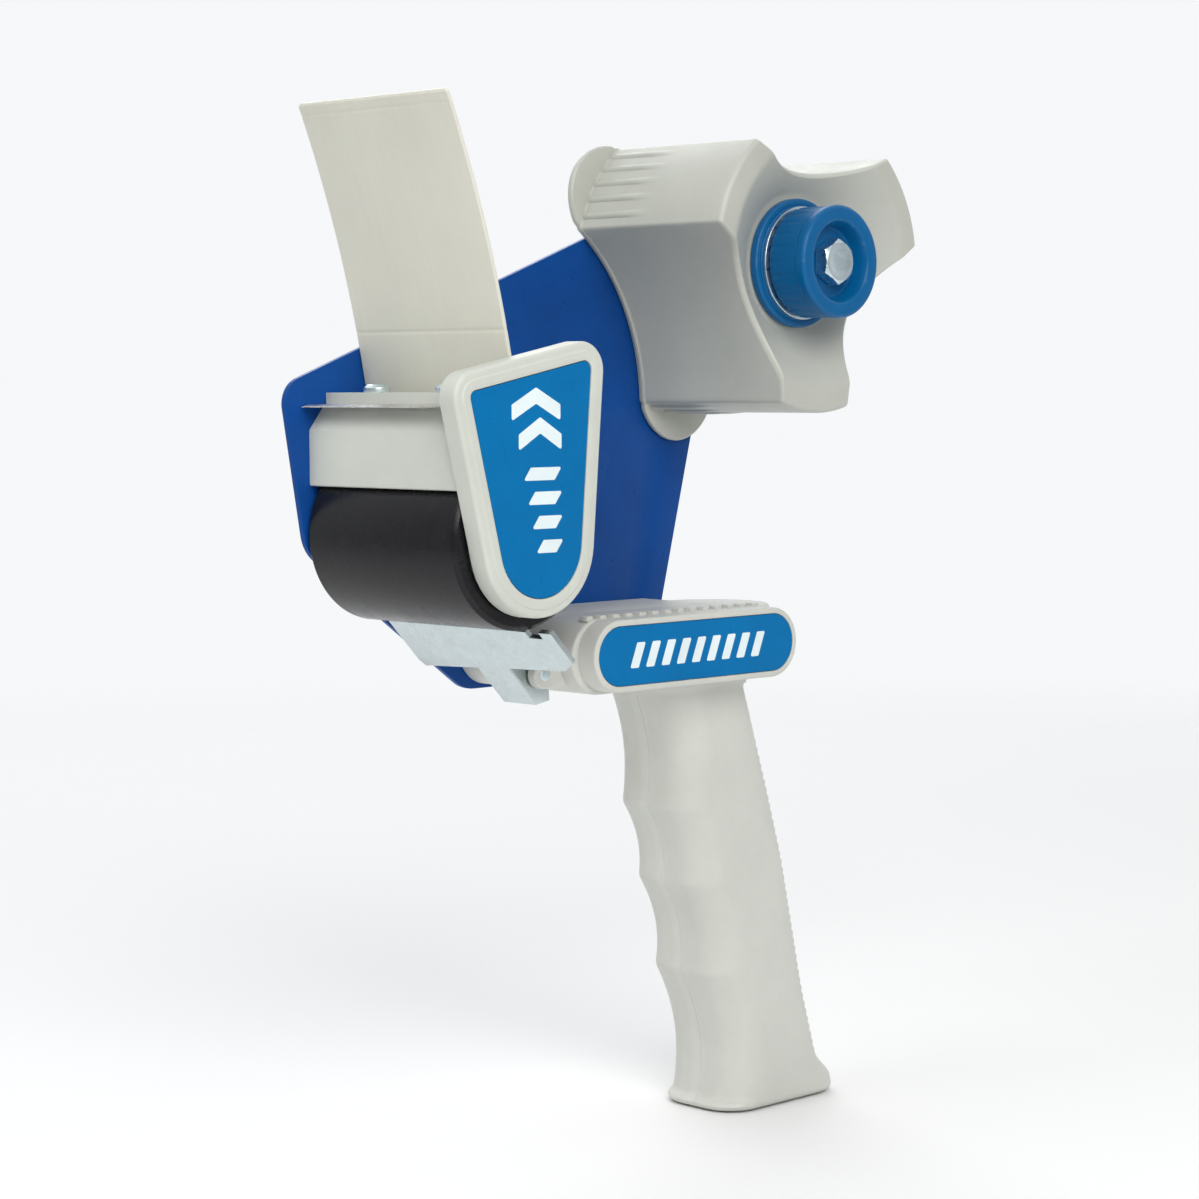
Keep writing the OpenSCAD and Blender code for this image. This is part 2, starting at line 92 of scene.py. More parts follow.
def rounded_path(corners, steps=5, closed=False):
    """Path through corners (u, v, radius), each turned into an arc of its radius."""
    path = []
    for i, (u, v, radius) in enumerate(corners):
        here = np.array([u, v], float)
        is_end = not closed and i in (0, len(corners) - 1)
        if radius == 0 or is_end:
            path.append(here)
            continue
        back = np.array(corners[i - 1][:2]) - here
        ahead = np.array(corners[(i + 1) % len(corners)][:2]) - here
        back_len, ahead_len = np.linalg.norm(back), np.linalg.norm(ahead)
        back, ahead = back / back_len, ahead / ahead_len
        half = math.acos(np.clip(back @ ahead, -1, 1)) / 2
        cut = min(radius / math.tan(half), 0.49 * back_len, 0.49 * ahead_len)
        arc_r = cut * math.tan(half)
        middle = back + ahead
        centre = here + middle / np.linalg.norm(middle) * arc_r / math.sin(half)
        first, last = here + back * cut - centre, here + ahead * cut - centre
        start = math.atan2(first[1], first[0])
        sweep = (math.atan2(last[1], last[0]) - start + math.pi) % TURN - math.pi
        for k in range(steps + 1):
            angle = start + sweep * k / steps
            path.append(centre + arc_r * np.array([math.cos(angle), math.sin(angle)]))
    return np.array(path)


def at_y(flat, y):
    """Points (x, z) placed at one y."""
    return np.stack([flat[:, 0], np.full(len(flat), float(y)), flat[:, 1]], 1)


class Outline:
    """Hull of circles (x, z, radius), held as arcs so that it can shrink evenly."""

    def __init__(self, circles, steps=14):
        middle = np.mean([c[:2] for c in circles], 0)
        ring = sorted(circles, key=lambda c: math.atan2(c[1] - middle[1], c[0] - middle[0]))
        normals_at = []
        for (x0, z0, r0), (x1, z1, r1) in zip(ring, ring[1:] + ring[:1]):
            span = math.hypot(x1 - x0, z1 - z0)
            along = math.atan2(z1 - z0, x1 - x0)
            normals_at.append(along - math.acos((r0 - r1) / span))
        centres, radii, angles = [], [], []
        for k, (x, z, radius) in enumerate(ring):
            start = normals_at[k - 1]
            sweep = (normals_at[k] - start) % TURN
            for s in range(steps + 1):
                centres.append((x, z))
                radii.append(radius)
                angles.append(start + sweep * s / steps)
        self.centres, self.radii = np.array(centres), np.array(radii)
        self.normals = np.stack([np.cos(angles), np.sin(angles)], 1)

    def ring(self, inset, y):
        return at_y(self.centres + (self.radii - inset)[:, None] * self.normals, y)


class Solid:
    """Closed shells in millimetres, gathered into one mesh."""

    def __init__(self):
        self.points, self.faces, self.count = [], [], 0

    def add(self, points, faces):
        self.points.append(np.asarray(points, float))
        self.faces += [tuple(self.count + i for i in face) for face in faces]
        self.count += len(points)
        return self


def loft(rings, loop=False):
    """Skin over rings of equal length, with flat ends unless the last ring meets the first."""
    count, total = len(rings[0]), len(rings)
    faces = []
    for i in range(total if loop else total - 1):
        a, b = i * count, (i + 1) % total * count
        for k in range(count):
            n = (k + 1) % count
            faces.append((a + k, a + n, b + n, b + k))
    if not loop:
        faces.append(tuple(range(count - 1, -1, -1)))
        faces.append(tuple(range((total - 1) * count, total * count)))
    return np.concatenate(rings), faces


def plate(outline, profile):
    """Solid whose edge follows a profile of (inset, y) round an outline."""
    return loft([outline.ring(inset, y) for inset, y in profile])


def rounded_plate(outline, y0, y1, edge0, edge1):
    """Plate from y0 to y1 with rounded edges."""
    corners = [(edge0 * 2, y0, 0), (0, y0, edge0), (0, y1, edge1), (edge1 * 2, y1, 0)]
    return plate(outline, rounded_path(corners))


def polar_ring(angles, radius, y, at=(0, 0)):
    """Ring round a line along Y."""
    return np.stack([at[0] + radius * np.cos(angles), y + 0 * angles,
                     at[1] + radius * np.sin(angles)], 1)


def revolve(profile, at=(0, 0), sides=128, loop=True):
    """Turned part round a line along Y, from a profile of (radius, y)."""
    angles = np.linspace(0, TURN, sides, endpoint=False)
    return loft([polar_ring(angles, r, y, at) for r, y in profile], loop)


def tube(path, radius, sides=12):
    """Round wire along a path of points."""
    path = np.asarray(path, float)
    along = np.gradient(path, axis=0)
    along /= np.linalg.norm(along, axis=1)[:, None]
    normal = np.cross(along[0], (0.31, 0.87, 0.39))
    turn = np.linspace(0, TURN, sides, endpoint=False)
    rings = []
    for place, forward in zip(path, along):
        normal = normal - forward * (normal @ forward)
        normal /= np.linalg.norm(normal)
        side = np.cross(forward, normal)
        rings.append(place + radius * (np.outer(np.cos(turn), normal)
                                       + np.outer(np.sin(turn), side)))
    return loft(rings)


def prism(corners, y0, y1, edge=0.0):
    """Bar along Y from an outline (x, z), its two ends softened by an edge radius."""
    flat = np.array(corners, float)
    middle = flat.mean(0)
    reach = np.abs(flat - middle).max(0)
    rings = []
    for inset, y in ((edge, y0), (0.3 * edge, y0 + 0.3 * edge), (0, y0 + edge),
                     (0, y1 - edge), (0.3 * edge, y1 - 0.3 * edge), (edge, y1)):
        rings.append(at_y(middle + (flat - middle) * (1 - inset / reach), y))
    return loft(rings)


def smooth_step(value, start, end):
    t = np.clip((value - start) / (end - start), 0, 1)
    return t * t * (3 - 2 * t)


def smooth_min(a, b, blend):
    h = np.clip(0.5 + 0.5 * (b - a) / blend, 0, 1)
    return b + (a - b) * h - blend * h * (1 - h)


# ---------- making pieces ----------

def mesh_of(name, solid, sharp_angle):
    """Clean mesh of a solid, in metres, smooth up to its sharp edges."""
    mesh = bpy.data.meshes.new(name)
    mesh.from_pydata((np.concatenate(solid.points) * MM).tolist(), [], solid.faces)
    work = bmesh.new()
    work.from_mesh(mesh)
    bmesh.ops.remove_doubles(work, verts=work.verts, dist=1e-7)
    bmesh.ops.dissolve_degenerate(work, edges=work.edges, dist=1e-7)
    bmesh.ops.recalc_face_normals(work, faces=work.faces)
    work.to_mesh(mesh)
    work.free()
    mesh.shade_smooth()
    mesh.set_sharp_from_angle(angle=math.radians(sharp_angle))
    return mesh


def show(name, mesh, material, body, stands_for=()):
    """A piece in the scene that rides on a body and replaces CAD nodes."""
    piece = bpy.data.objects.new(name, mesh)
    bpy.context.scene.collection.objects.link(piece)
    mesh.materials.clear()
    mesh.materials.append(material)
    if body:
        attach(piece, body)
    if stands_for:
        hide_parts(*stands_for)
    return piece


def make(name, solid, material, node, stands_for=None, sharp_angle=SHARP):
    """A new piece that stands for a CAD node and takes its body from it."""
    nodes = (node,) if stands_for is None else stands_for
    return show(name, mesh_of(name, solid, sharp_angle), material, BODY_OF[node],
                nodes)


def refine(node, material, edge, segments=3):
    """A copy of a CAD node's mesh with its hard edges rounded."""
    mesh = frame["nodes"][node].data.copy()
    work = bmesh.new()
    work.from_mesh(mesh)
    bmesh.ops.remove_doubles(work, verts=work.verts, dist=2e-6)
    bmesh.ops.dissolve_limit(work, angle_limit=math.radians(1.5), verts=work.verts,
                             edges=work.edges)
    work.to_mesh(mesh)
    work.free()
    piece = show(node + "_finished", mesh, material, BODY_OF[node], (node,))
    bevel = piece.modifiers.new("edge", "BEVEL")
    bevel.width = edge * MM
    bevel.segments = segments
    bevel.limit_method = "ANGLE"
    bevel.angle_limit = math.radians(34)
    bevel.use_clamp_overlap = True
    settle(piece)
    piece.data.shade_smooth()
    piece.data.set_sharp_from_angle(angle=math.radians(SHARP))


def settle(piece):
    """Makes a piece's modifiers part of its mesh."""
    bpy.context.view_layer.update()
    shape = piece.evaluated_get(bpy.context.evaluated_depsgraph_get())
    mesh = bpy.data.meshes.new_from_object(shape)
    piece.modifiers.clear()
    piece.data = mesh


def cut(piece, solid):
    """Takes a solid away from a piece."""
    cutter = bpy.data.objects.new("cutter", mesh_of("cutter", solid, SHARP))
    bpy.context.scene.collection.objects.link(cutter)
    boolean = piece.modifiers.new("cut", "BOOLEAN")
    boolean.operation = "DIFFERENCE"
    boolean.solver = "EXACT"
    boolean.object = cutter
    settle(piece)
    bpy.data.objects.remove(cutter)
    piece.data.set_sharp_from_angle(angle=math.radians(SHARP))


# ---------- materials ----------

def srgb(red, green, blue):
    """Linear colour of an 8-bit screen colour."""
    channels = [c / 255 for c in (red, green, blue)]
    return tuple(c / 12.92 if c <= 0.04045 else ((c + 0.055) / 1.055) ** 2.4
                 for c in channels) + (1.0,)


def shade_of(colour, factor):
    return tuple(min(c * factor, 1.0) for c in colour[:3]) + (1.0,)


class Finish:
    """A procedural material: one Principled shader and the textures that feed it."""

    def __init__(self, name, **values):
        self.material = bpy.data.materials.new(name)
        self.material.use_nodes = True
        self.tree = self.material.node_tree
        self.shader = self.tree.nodes["Principled BSDF"]
        for socket, value in values.items():
            self.shader.inputs[socket.replace("_", " ")].default_value = value
        self.place = self.add("ShaderNodeTexCoord").outputs["Object"]

    def add(self, kind, **values):
        node = self.tree.nodes.new(kind)
        for key, value in values.items():
            setattr(node, key, value)
        return node

    def link(self, source, target):
        self.tree.links.new(source, target)

    def feed(self, socket, source):
        self.link(source, self.shader.inputs[socket])

    def stretched(self, factors):
        """Object coordinates scaled along each axis."""
        mapping = self.add("ShaderNodeMapping")
        mapping.inputs["Scale"].default_value = factors
        self.link(self.place, mapping.inputs["Vector"])
        return mapping.outputs["Vector"]

    def noise(self, size_mm, detail=3.0, roughness=0.5, factors=None):
        """Soft noise whose features are about size_mm across."""
        node = self.add("ShaderNodeTexNoise")
        node.inputs["Scale"].default_value = 1 / (size_mm * MM)
        node.inputs["Detail"].default_value = detail
        node.inputs["Roughness"].default_value = roughness
        self.link(self.stretched(factors) if factors else self.place, node.inputs["Vector"])
        return node.outputs["Fac"]

    def cells(self, size_mm):
        """Irregular cells, each of one random shade."""
        node = self.add("ShaderNodeTexVoronoi")
        node.inputs["Scale"].default_value = 1 / (size_mm * MM)
        self.link(self.place, node.inputs["Vector"])
        return node.outputs["Color"]

    def ramp(self, source, *stops):
        """Colour ramp of (position, colour) stops."""
        node = self.add("ShaderNodeValToRGB")
        elements = node.color_ramp.elements
        while len(elements) < len(stops):
            elements.new(0.5)
        for element, (position, colour) in zip(elements, stops):
            element.position = position
            element.color = colour
        self.link(source, node.inputs["Fac"])
        return node.outputs["Color"]

    def spread(self, source, low, high, start=0.3, end=0.7):
        """Maps the middle of a texture's range to low and high."""
        node = self.add("ShaderNodeMapRange")
        for socket, value in (("From Min", start), ("From Max", end), ("To Min", low),
                              ("To Max", high)):
            node.inputs[socket].default_value = value
        self.link(source, node.inputs["Value"])
        return node.outputs["Result"]

    def mix(self, factor, first, second):
        """First colour where factor is 0, second where it is 1."""
        node = self.add("ShaderNodeMix", data_type="RGBA")
        sockets = [s for s in node.inputs if s.enabled]
        for socket, value in zip(sockets, (factor, first, second)):
            if isinstance(value, bpy.types.NodeSocket):
                self.link(value, socket)
            else:
                socket.default_value = value
        return [s for s in node.outputs if s.enabled][0]

    def bump(self, height, depth_mm, strength=1.0):
        """Adds relief on top of what the shader already has."""
        node = self.add("ShaderNodeBump")
        node.inputs["Distance"].default_value = depth_mm * MM
        node.inputs["Strength"].default_value = strength
        self.link(height, node.inputs["Height"])
        normal = self.shader.inputs["Normal"]
        if normal.is_linked:
            self.link(normal.links[0].from_socket, node.inputs["Normal"])
        self.link(node.outputs["Normal"], normal)

    def worn_edges_and_painted_shade(self, colour, amount):
        """Lightens convex edges a little as wear, and darkens hollows a little as painted shade."""
        point = self.add("ShaderNodeNewGeometry").outputs["Pointiness"]
        edge = self.spread(point, 0.0, amount, 0.51, 0.56)
        # painted shade: hollows darkened towards near black, standing in for the shade that falls in them
        painted_hollow_shade = self.spread(point, amount, 0.0, 0.44, 0.495)
        lighter = self.mix(edge, colour, (1, 1, 1, 1))
        return self.mix(painted_hollow_shade, lighter, (0.12, 0.12, 0.11, 1))


def moulded_plastic(name, colour, roughness=0.42, grain=0.5, depth=0.010, wear_and_shade=0.05,
                    gloss=0.4):
    """Injection-moulded plastic: spark-eroded grain, faint flow mottling, handled edges and painted shade in its
    hollows.
    """
    finish = Finish(name, Specular_IOR_Level=gloss)
    mottle = finish.ramp(finish.noise(22, 4, 0.6), (0.32, shade_of(colour, 0.955)),
                         (0.68, shade_of(colour, 1.03)))
    specks = finish.noise(2.2, 3, 0.5)
    tinted = finish.mix(finish.spread(specks, 0.0, 0.06, 0.35, 0.75), mottle,
                        shade_of(colour, 0.7))
    # edges lightened as wear, hollows darkened as painted shade
    finish.feed("Base Color", finish.worn_edges_and_painted_shade(tinted, wear_and_shade))
    finish.feed("Roughness", finish.spread(finish.noise(7, 5, 0.65), roughness - 0.05,
                                           roughness + 0.07))
    finish.bump(finish.noise(grain, 4, 0.6), depth, 0.55)
    finish.bump(finish.noise(9, 2, 0.5), 0.05, 0.25)
    return finish.material


def flap_sheet():
    """Extruded flexible strip: fine lines along its length and a slightly waxy surface."""
    colour = srgb(217, 217, 204)
    finish = Finish("flap_sheet", IOR=1.45, Subsurface_Weight=0.08, Subsurface_Scale=0.0015)
    lines = finish.noise(1.1, 3, 0.6, factors=(0.04, 1.0, 0.04))
    mottle = finish.ramp(finish.noise(30, 4, 0.55), (0.3, shade_of(colour, 0.95)),
                         (0.7, shade_of(colour, 1.03)))
    streaked = finish.mix(finish.spread(lines, 0.0, 0.09), mottle, shade_of(colour, 0.7))
    # edges lightened as wear, hollows darkened as painted shade
    finish.feed("Base Color", finish.worn_edges_and_painted_shade(streaked, 0.06))
    finish.feed("Roughness", finish.spread(finish.noise(5, 5, 0.7), 0.36, 0.5))
    finish.bump(lines, 0.02, 0.4)
    finish.bump(finish.noise(0.3, 3, 0.6), 0.006, 0.5)
    return finish.material


def powder_coat():
    """Blue powder coat on steel: orange peel, tiny craters and a clear gloss."""
    colour = srgb(14, 68, 139)
    finish = Finish("powder_coat", Specular_IOR_Level=0.14)
    depth = finish.ramp(finish.noise(26, 4, 0.6), (0.3, shade_of(colour, 0.86)),
                        (0.7, shade_of(colour, 1.14)))
    fine = finish.spread(finish.noise(1.8, 3, 0.5), 0.0, 0.1, 0.35, 0.7)
    finish.feed("Base Color", finish.mix(fine, depth, shade_of(colour, 1.5)))
    finish.feed("Roughness", finish.spread(finish.noise(4, 5, 0.7), 0.26, 0.4))
    finish.bump(finish.noise(1.6, 2, 0.4), 0.03, 0.4)
    return finish.material


def label_foil(name, colour):
    """Printed foil: even ink with a fine dot screen under a glossy film."""
    finish = Finish(name, Specular_IOR_Level=0.12)
    ink = finish.ramp(finish.noise(14, 3, 0.5), (0.3, shade_of(colour, 0.94)),
                      (0.7, shade_of(colour, 1.05)))
    dots = finish.noise(0.8, 2, 0.4)
    finish.feed("Base Color", finish.mix(finish.spread(dots, 0.0, 0.06), ink,
                                         shade_of(colour, 0.75)))
    finish.feed("Roughness", finish.spread(finish.noise(6, 4, 0.6), 0.26, 0.38))
    finish.bump(finish.noise(11, 2, 0.5), 0.03, 0.25)
    return finish.material


def zinc_plate(name, tint):
    """Bright zinc: crystal spangle, hairline scratches and patchy passivation."""
    finish = Finish(name, Metallic=1.0)
    spangle = finish.ramp(finish.cells(2.4), (0.0, shade_of(tint, 0.93)),
                          (1.0, shade_of(tint, 1.05)))
    patchy = finish.mix(finish.spread(finish.noise(12, 4, 0.6), 0.0, 0.22), spangle,
                        shade_of(tint, 0.82))
    # edges lightened as wear, hollows darkened as painted shade
    finish.feed("Base Color", finish.worn_edges_and_painted_shade(patchy, 0.1))
    scratches = finish.noise(0.5, 3, 0.6, factors=(0.06, 1.0, 0.5))
    finish.feed("Roughness", finish.spread(scratches, 0.24, 0.42))
    finish.bump(scratches, 0.004, 0.35)
    finish.bump(finish.noise(1.2, 3, 0.5), 0.008, 0.3)
    return finish.material


def ground_steel():
    """Blade steel: grinding lines across the teeth, with a little staining."""
    tint = (0.74, 0.74, 0.73, 1.0)
    finish = Finish("ground_steel", Metallic=1.0)
    lines = finish.noise(0.22, 4, 0.65, factors=(0.03, 1.0, 0.3))
    stain = finish.ramp(finish.noise(6, 5, 0.6), (0.35, shade_of(tint, 0.8)),
                        (0.65, shade_of(tint, 1.1)))
    finish.feed("Base Color", finish.mix(finish.spread(lines, 0.0, 0.3), stain,
                                         shade_of(tint, 0.6)))
    finish.feed("Roughness", finish.spread(lines, 0.22, 0.42))
    finish.bump(lines, 0.006, 0.6)
    return finish.material


def drawn_wire():
    """Spring wire: fine draw marks and dull patches."""
    tint = (0.42, 0.43, 0.45, 1.0)
    finish = Finish("drawn_wire", Metallic=1.0)
    marks = finish.noise(0.15, 3, 0.6)
    finish.feed("Base Color", finish.ramp(marks, (0.3, shade_of(tint, 0.75)),
                                          (0.7, shade_of(tint, 1.2))))
    finish.feed("Roughness", finish.spread(marks, 0.25, 0.45))
    finish.bump(marks, 0.003, 0.5)
    return finish.material


def roller_rubber():
    """Ground rubber: rings left by the grinding wheel, dust and a soft sheen."""
    colour = srgb(22, 22, 25)
    finish = Finish("roller_rubber", Specular_IOR_Level=0.28)
    rings = finish.noise(0.9, 3, 0.6, factors=(0.02, 1.0, 0.02))
    dust = finish.noise(5, 6, 0.7)
    tone = finish.ramp(dust, (0.4, colour), (0.8, shade_of(colour, 1.45)))
    finish.feed("Base Color", finish.mix(finish.spread(rings, 0.0, 0.3), tone,
                                         shade_of(colour, 0.6)))
    finish.feed("Roughness", finish.spread(dust, 0.2, 0.32))
    finish.bump(rings, 0.012, 0.5)
    finish.bump(finish.noise(0.3, 3, 0.6), 0.006, 0.5)
    return finish.material


CREAM = moulded_plastic("cream_moulding", srgb(202, 205, 196))
HANDLE = moulded_plastic("handle_moulding", srgb(201, 202, 195), 0.44)
HUB = moulded_plastic("hub_moulding", srgb(184, 186, 178), 0.4)
KNOB = moulded_plastic("knob_moulding", srgb(0, 92, 147), 0.32, depth=0.006, wear_and_shade=0.03,
                       gloss=0.22)
BLACK = moulded_plastic("core_moulding", srgb(34, 34, 36), 0.45)
FLAP = flap_sheet()
COAT = powder_coat()
FOIL = label_foil("blue_foil", srgb(0, 109, 169))
PRINT = label_foil("white_print", srgb(226, 238, 241))
ZINC = zinc_plate("zinc_plate", (0.70, 0.82, 0.86, 1.0))
SHEET_ZINC = zinc_plate("sheet_zinc", (0.55, 0.63, 0.64, 1.0))
BLADE = ground_steel()
WIRE = drawn_wire()
RUBBER = roller_rubber()


# ---------- camera, light and floor ----------

CAMERA_AT = (-0.55976, -0.51880, -0.02834)
CAMERA_TURN = (44.49, -3.82, -0.26)
CAMERA_LENS = 90.1
CAMERA_SHIFT = (-0.0095, -0.0175)


def add_camera():
    """Looks at the gun from its open side, a little ahead of it and slightly downwards."""
    yaw, pitch, roll = (math.radians(angle) for angle in CAMERA_TURN)
    ahead = Vector((math.sin(yaw) * math.cos(pitch), math.cos(yaw) * math.cos(pitch),
                    math.sin(pitch)))
    right = Vector((math.cos(yaw), -math.sin(yaw), 0))
    up = right.cross(ahead)
    turned_right = math.cos(roll) * right + math.sin(roll) * up
    turned_up = math.cos(roll) * up - math.sin(roll) * right
    camera = bpy.data.objects.new("camera", bpy.data.cameras.new("camera"))
    bpy.context.scene.collection.objects.link(camera)
    view = Matrix((turned_right, turned_up, -ahead)).transposed().to_4x4()
    view.translation = Vector(CAMERA_AT)
    camera.matrix_world = view
    camera.data.lens = CAMERA_LENS
    camera.data.shift_x, camera.data.shift_y = CAMERA_SHIFT
    bpy.context.scene.camera = camera


def add_area_light(name, away, distance, size, watts, colour=(1, 1, 1)):
    """Soft square light that faces the gun's middle from the direction away."""
    lamp = bpy.data.lights.new(name, "AREA")
    lamp.shape = "SQUARE"
    lamp.size = size
    lamp.energy = watts
    lamp.color = colour
    light = bpy.data.objects.new(name, lamp)
    bpy.context.scene.collection.objects.link(light)
    direction = Vector(away).normalized()
    light.location = GUN_MIDDLE + direction * distance
    light.rotation_euler = direction.to_track_quat("Z", "Y").to_euler()


def add_floor():
    """Pale disc under the gun that fades into the surroundings."""
    mesh = bpy.data.meshes.new("floor")
    angles = np.linspace(0, TURN, 96, endpoint=False)
    reach = 3.2
    level = cad_bounds[0][2] - 0.0005
    points = [(reach * math.cos(a), reach * math.sin(a), level) for a in angles]
    mesh.from_pydata(points, [], [tuple(range(96))])
    finish = Finish("floor_card", Roughness=0.9)
    tone = finish.ramp(finish.noise(180, 3, 0.5), (0.3, (0.83, 0.83, 0.83, 1)),
                       (0.7, (0.84, 0.84, 0.84, 1)))
    finish.feed("Base Color", tone)
    far = finish.add("ShaderNodeVectorMath", operation="LENGTH")
    finish.link(finish.place, far.inputs[0])
    fade = finish.spread(far.outputs["Value"], 0.0, 1.0, 0.3, 1.1)
    clear = finish.add("ShaderNodeBsdfTransparent")
    blend = finish.add("ShaderNodeMixShader")
    finish.link(fade, blend.inputs[0])
    finish.link(finish.shader.outputs[0], blend.inputs[1])
    finish.link(clear.outputs[0], blend.inputs[2])
    finish.link(blend.outputs[0], finish.tree.nodes["Material Output"].inputs[0])
    mesh.materials.append(finish.material)
    floor = bpy.data.objects.new("floor", mesh)
    bpy.context.scene.collection.objects.link(floor)


def add_world():
    """Pale surroundings, brightest on the far side of the gun and overhead."""
    world = bpy.data.worlds.new("studio")
    bpy.context.scene.world = world
    world.use_nodes = True
    tree = world.node_tree
    background = tree.nodes["Background"]
    background.inputs["Color"].default_value = (0.97, 0.985, 1.0, 1)
    place = tree.nodes.new("ShaderNodeTexCoord")
    far_side = tree.nodes.new("ShaderNodeVectorMath")
    far_side.operation = "DOT_PRODUCT"
    far_side.inputs[1].default_value = (0.66, 0.66, 0.36)
    strength = tree.nodes.new("ShaderNodeMapRange")
    strength.interpolation_type = "SMOOTHSTEP"
    strength.inputs["From Min"].default_value = -0.3
    strength.inputs["From Max"].default_value = 0.85
    strength.inputs["To Min"].default_value = 0.33
    strength.inputs["To Max"].default_value = 0.95
    tree.links.new(place.outputs["Generated"], far_side.inputs[0])
    tree.links.new(far_side.outputs["Value"], strength.inputs["Value"])
    tree.links.new(strength.outputs["Result"], background.inputs["Strength"])


GUN_MIDDLE = (Vector(cad_bounds[0]) + Vector(cad_bounds[1])) / 2
add_camera()
add_world()
add_floor()
add_area_light("key", (-0.5, -0.85, 0.6), 1.0, 0.6, 6.8, (1.0, 0.985, 0.96))
add_area_light("side", (-0.8, 0.15, 0.75), 1.1, 0.6, 2.5, (0.97, 0.985, 1.0))
add_area_light("back", (0.5, 0.9, 0.9), 1.2, 0.8, 4.0)
bpy.context.scene.view_settings.view_transform = "Standard"


# ---------- tape hub ----------

HUB_LOW, HUB_HIGH = box_mm("tape_hub")
HUB_REST = -3
LOBES = (150, 30, -90)
FLANKS = (90, 210, 330)
HUB_BORE_R = 6.06
LOBE_R = 37.2
FLANGE_R = 44.6
FLANGE_THICK = 1.7
FLANK_R = 55.0
WAIST_R = 22.5
DISH_Y = box_mm("friction_disc")[1][1] + 0.2
DISH_R = 17.0
DISH_REACH = 31.0
SPINDLE_TO_COLLAR = 42.5


def angle_off(angles, degrees):
    """Angle from a direction, between minus and plus half a turn."""
    return (angles - math.radians(degrees + HUB_REST) + math.pi) % TURN - math.pi


def lobed_radius(angles, tip_r, shrink=0.0, blend=1.0):
    """Distance from the axis to the three-lobed wall at each angle."""
    radius = tip_r - shrink + 0 * angles
    for flank in FLANKS:
        off = angle_off(angles, flank)
        away = WAIST_R + FLANK_R
        inside = (FLANK_R + shrink) ** 2 - (away * np.sin(off)) ** 2
        wall = away * np.cos(off) - np.sqrt(np.clip(inside, 0, None))
        hit = (inside > 0) & (np.cos(off) > 0)
        radius = np.where(hit, smooth_min(radius, np.where(hit, wall, 99.0), blend), radius)
    return radius


def flange_tip(angles):
    """Outer edge of the flange: highest at the middle of each lobe, falling to its sides."""
    off = np.min([np.abs(angle_off(angles, lobe)) for lobe in LOBES], 0)
    return FLANGE_R - 4.2 * (off / math.radians(15)) ** 2


def rib_height(angles):
    """Five narrow ribs along the middle of each lobe."""
    height = np.zeros_like(angles)
    for lobe in LOBES:
        for k in range(-2, 3):
            off = angle_off(angles, lobe + 7 * k)
            height = np.maximum(height, np.sqrt(np.clip(0.81 - (off * LOBE_R) ** 2, 0, None)))
    return 0.62 * height


def near_end(radius):
    """Y of the hub's near end at a radius: dish floor, dish wall and flat lobe tips."""
    t = (radius - DISH_R) / (DISH_REACH - DISH_R)
    soft = 0.08
    above_floor = -smooth_min(-t, 0 * t, soft)
    return DISH_Y + (HUB_LOW[1] - DISH_Y) * smooth_min(above_floor, 1 + 0 * t, soft)


def hub_solid():
    """Bore, dish, ribbed lobes, flange, hollow back and boss."""
    angles = np.linspace(0, TURN, 720, endpoint=False)
    wall = lobed_radius(angles, LOBE_R)
    inner = lobed_radius(angles, LOBE_R, 2.5, 2.0)
    flange = np.maximum(lobed_radius(angles, flange_tip(angles), 0.0, 3.0), wall + 0.15)
    ribs = rib_height(angles)
    edge = 1.3
    back_y = HUB_HIGH[1]
    flange_y = back_y - FLANGE_THICK
    boss_y = box_mm("hub_spindle")[0][1] + SPINDLE_TO_COLLAR
    rows = [(HUB_BORE_R, DISH_Y + 0.5), (6.5, DISH_Y)]
    for t in np.linspace(0, 1, 26):
        radius = 9 + (wall - edge - 9) * t
        rows.append((radius, near_end(radius)))
    for turn in np.linspace(0, math.pi / 2, 8)[1:]:
        radius = wall - edge + edge * math.sin(turn)
        rows.append((radius, near_end(wall - edge) + edge * (1 - math.cos(turn))))
    near_y = near_end(wall - edge) + edge
    for y in (-6.0, -2.0, 1.0):
        rows.append((wall, np.maximum(near_y + 0.2, y)))
    for y in np.linspace(1.5, 13, 12):
        rows.append((wall + ribs * smooth_step(y, 1.0, 12.0), y))
    for least, before in ((0, 0.7), (0.12, 0.25), (0.4, 0)):
        rows.append((wall + np.maximum(ribs, least), flange_y - before))
    lip = 0.7
    for turn in np.linspace(0, math.pi / 2, 6):
        out = np.maximum(flange - lip + lip * math.sin(turn), wall + 0.42 + 0.05 * turn)
        rows.append((out, flange_y + lip * (1 - math.cos(turn))))
    for turn in np.linspace(0, math.pi / 2, 5)[1:]:
        out = np.maximum(flange - 0.5 + 0.5 * math.cos(turn), wall)
        rows.append((out, back_y - 0.5 + 0.5 * math.sin(turn)))
    floor_y = DISH_Y + 3.5
    rows += [(inner + 0.4, back_y), (inner, back_y - 0.4), (inner, floor_y + 8),
             (inner, floor_y + 2), (inner - 0.6, floor_y + 0.6), (inner - 2.0, floor_y),
             (11.5, floor_y), (10.3, floor_y + 0.5), (10, floor_y + 1.5), (10, boss_y - 0.5),
             (9.5, boss_y), (6.5, boss_y), (HUB_BORE_R, boss_y - 0.5)]
    return Solid().add(*loft([polar_ring(angles, r, y) for r, y in rows], loop=True))


make("tape_hub_moulding", hub_solid(), HUB, "tape_hub", sharp_angle=40)


# ---------- tape brake ----------

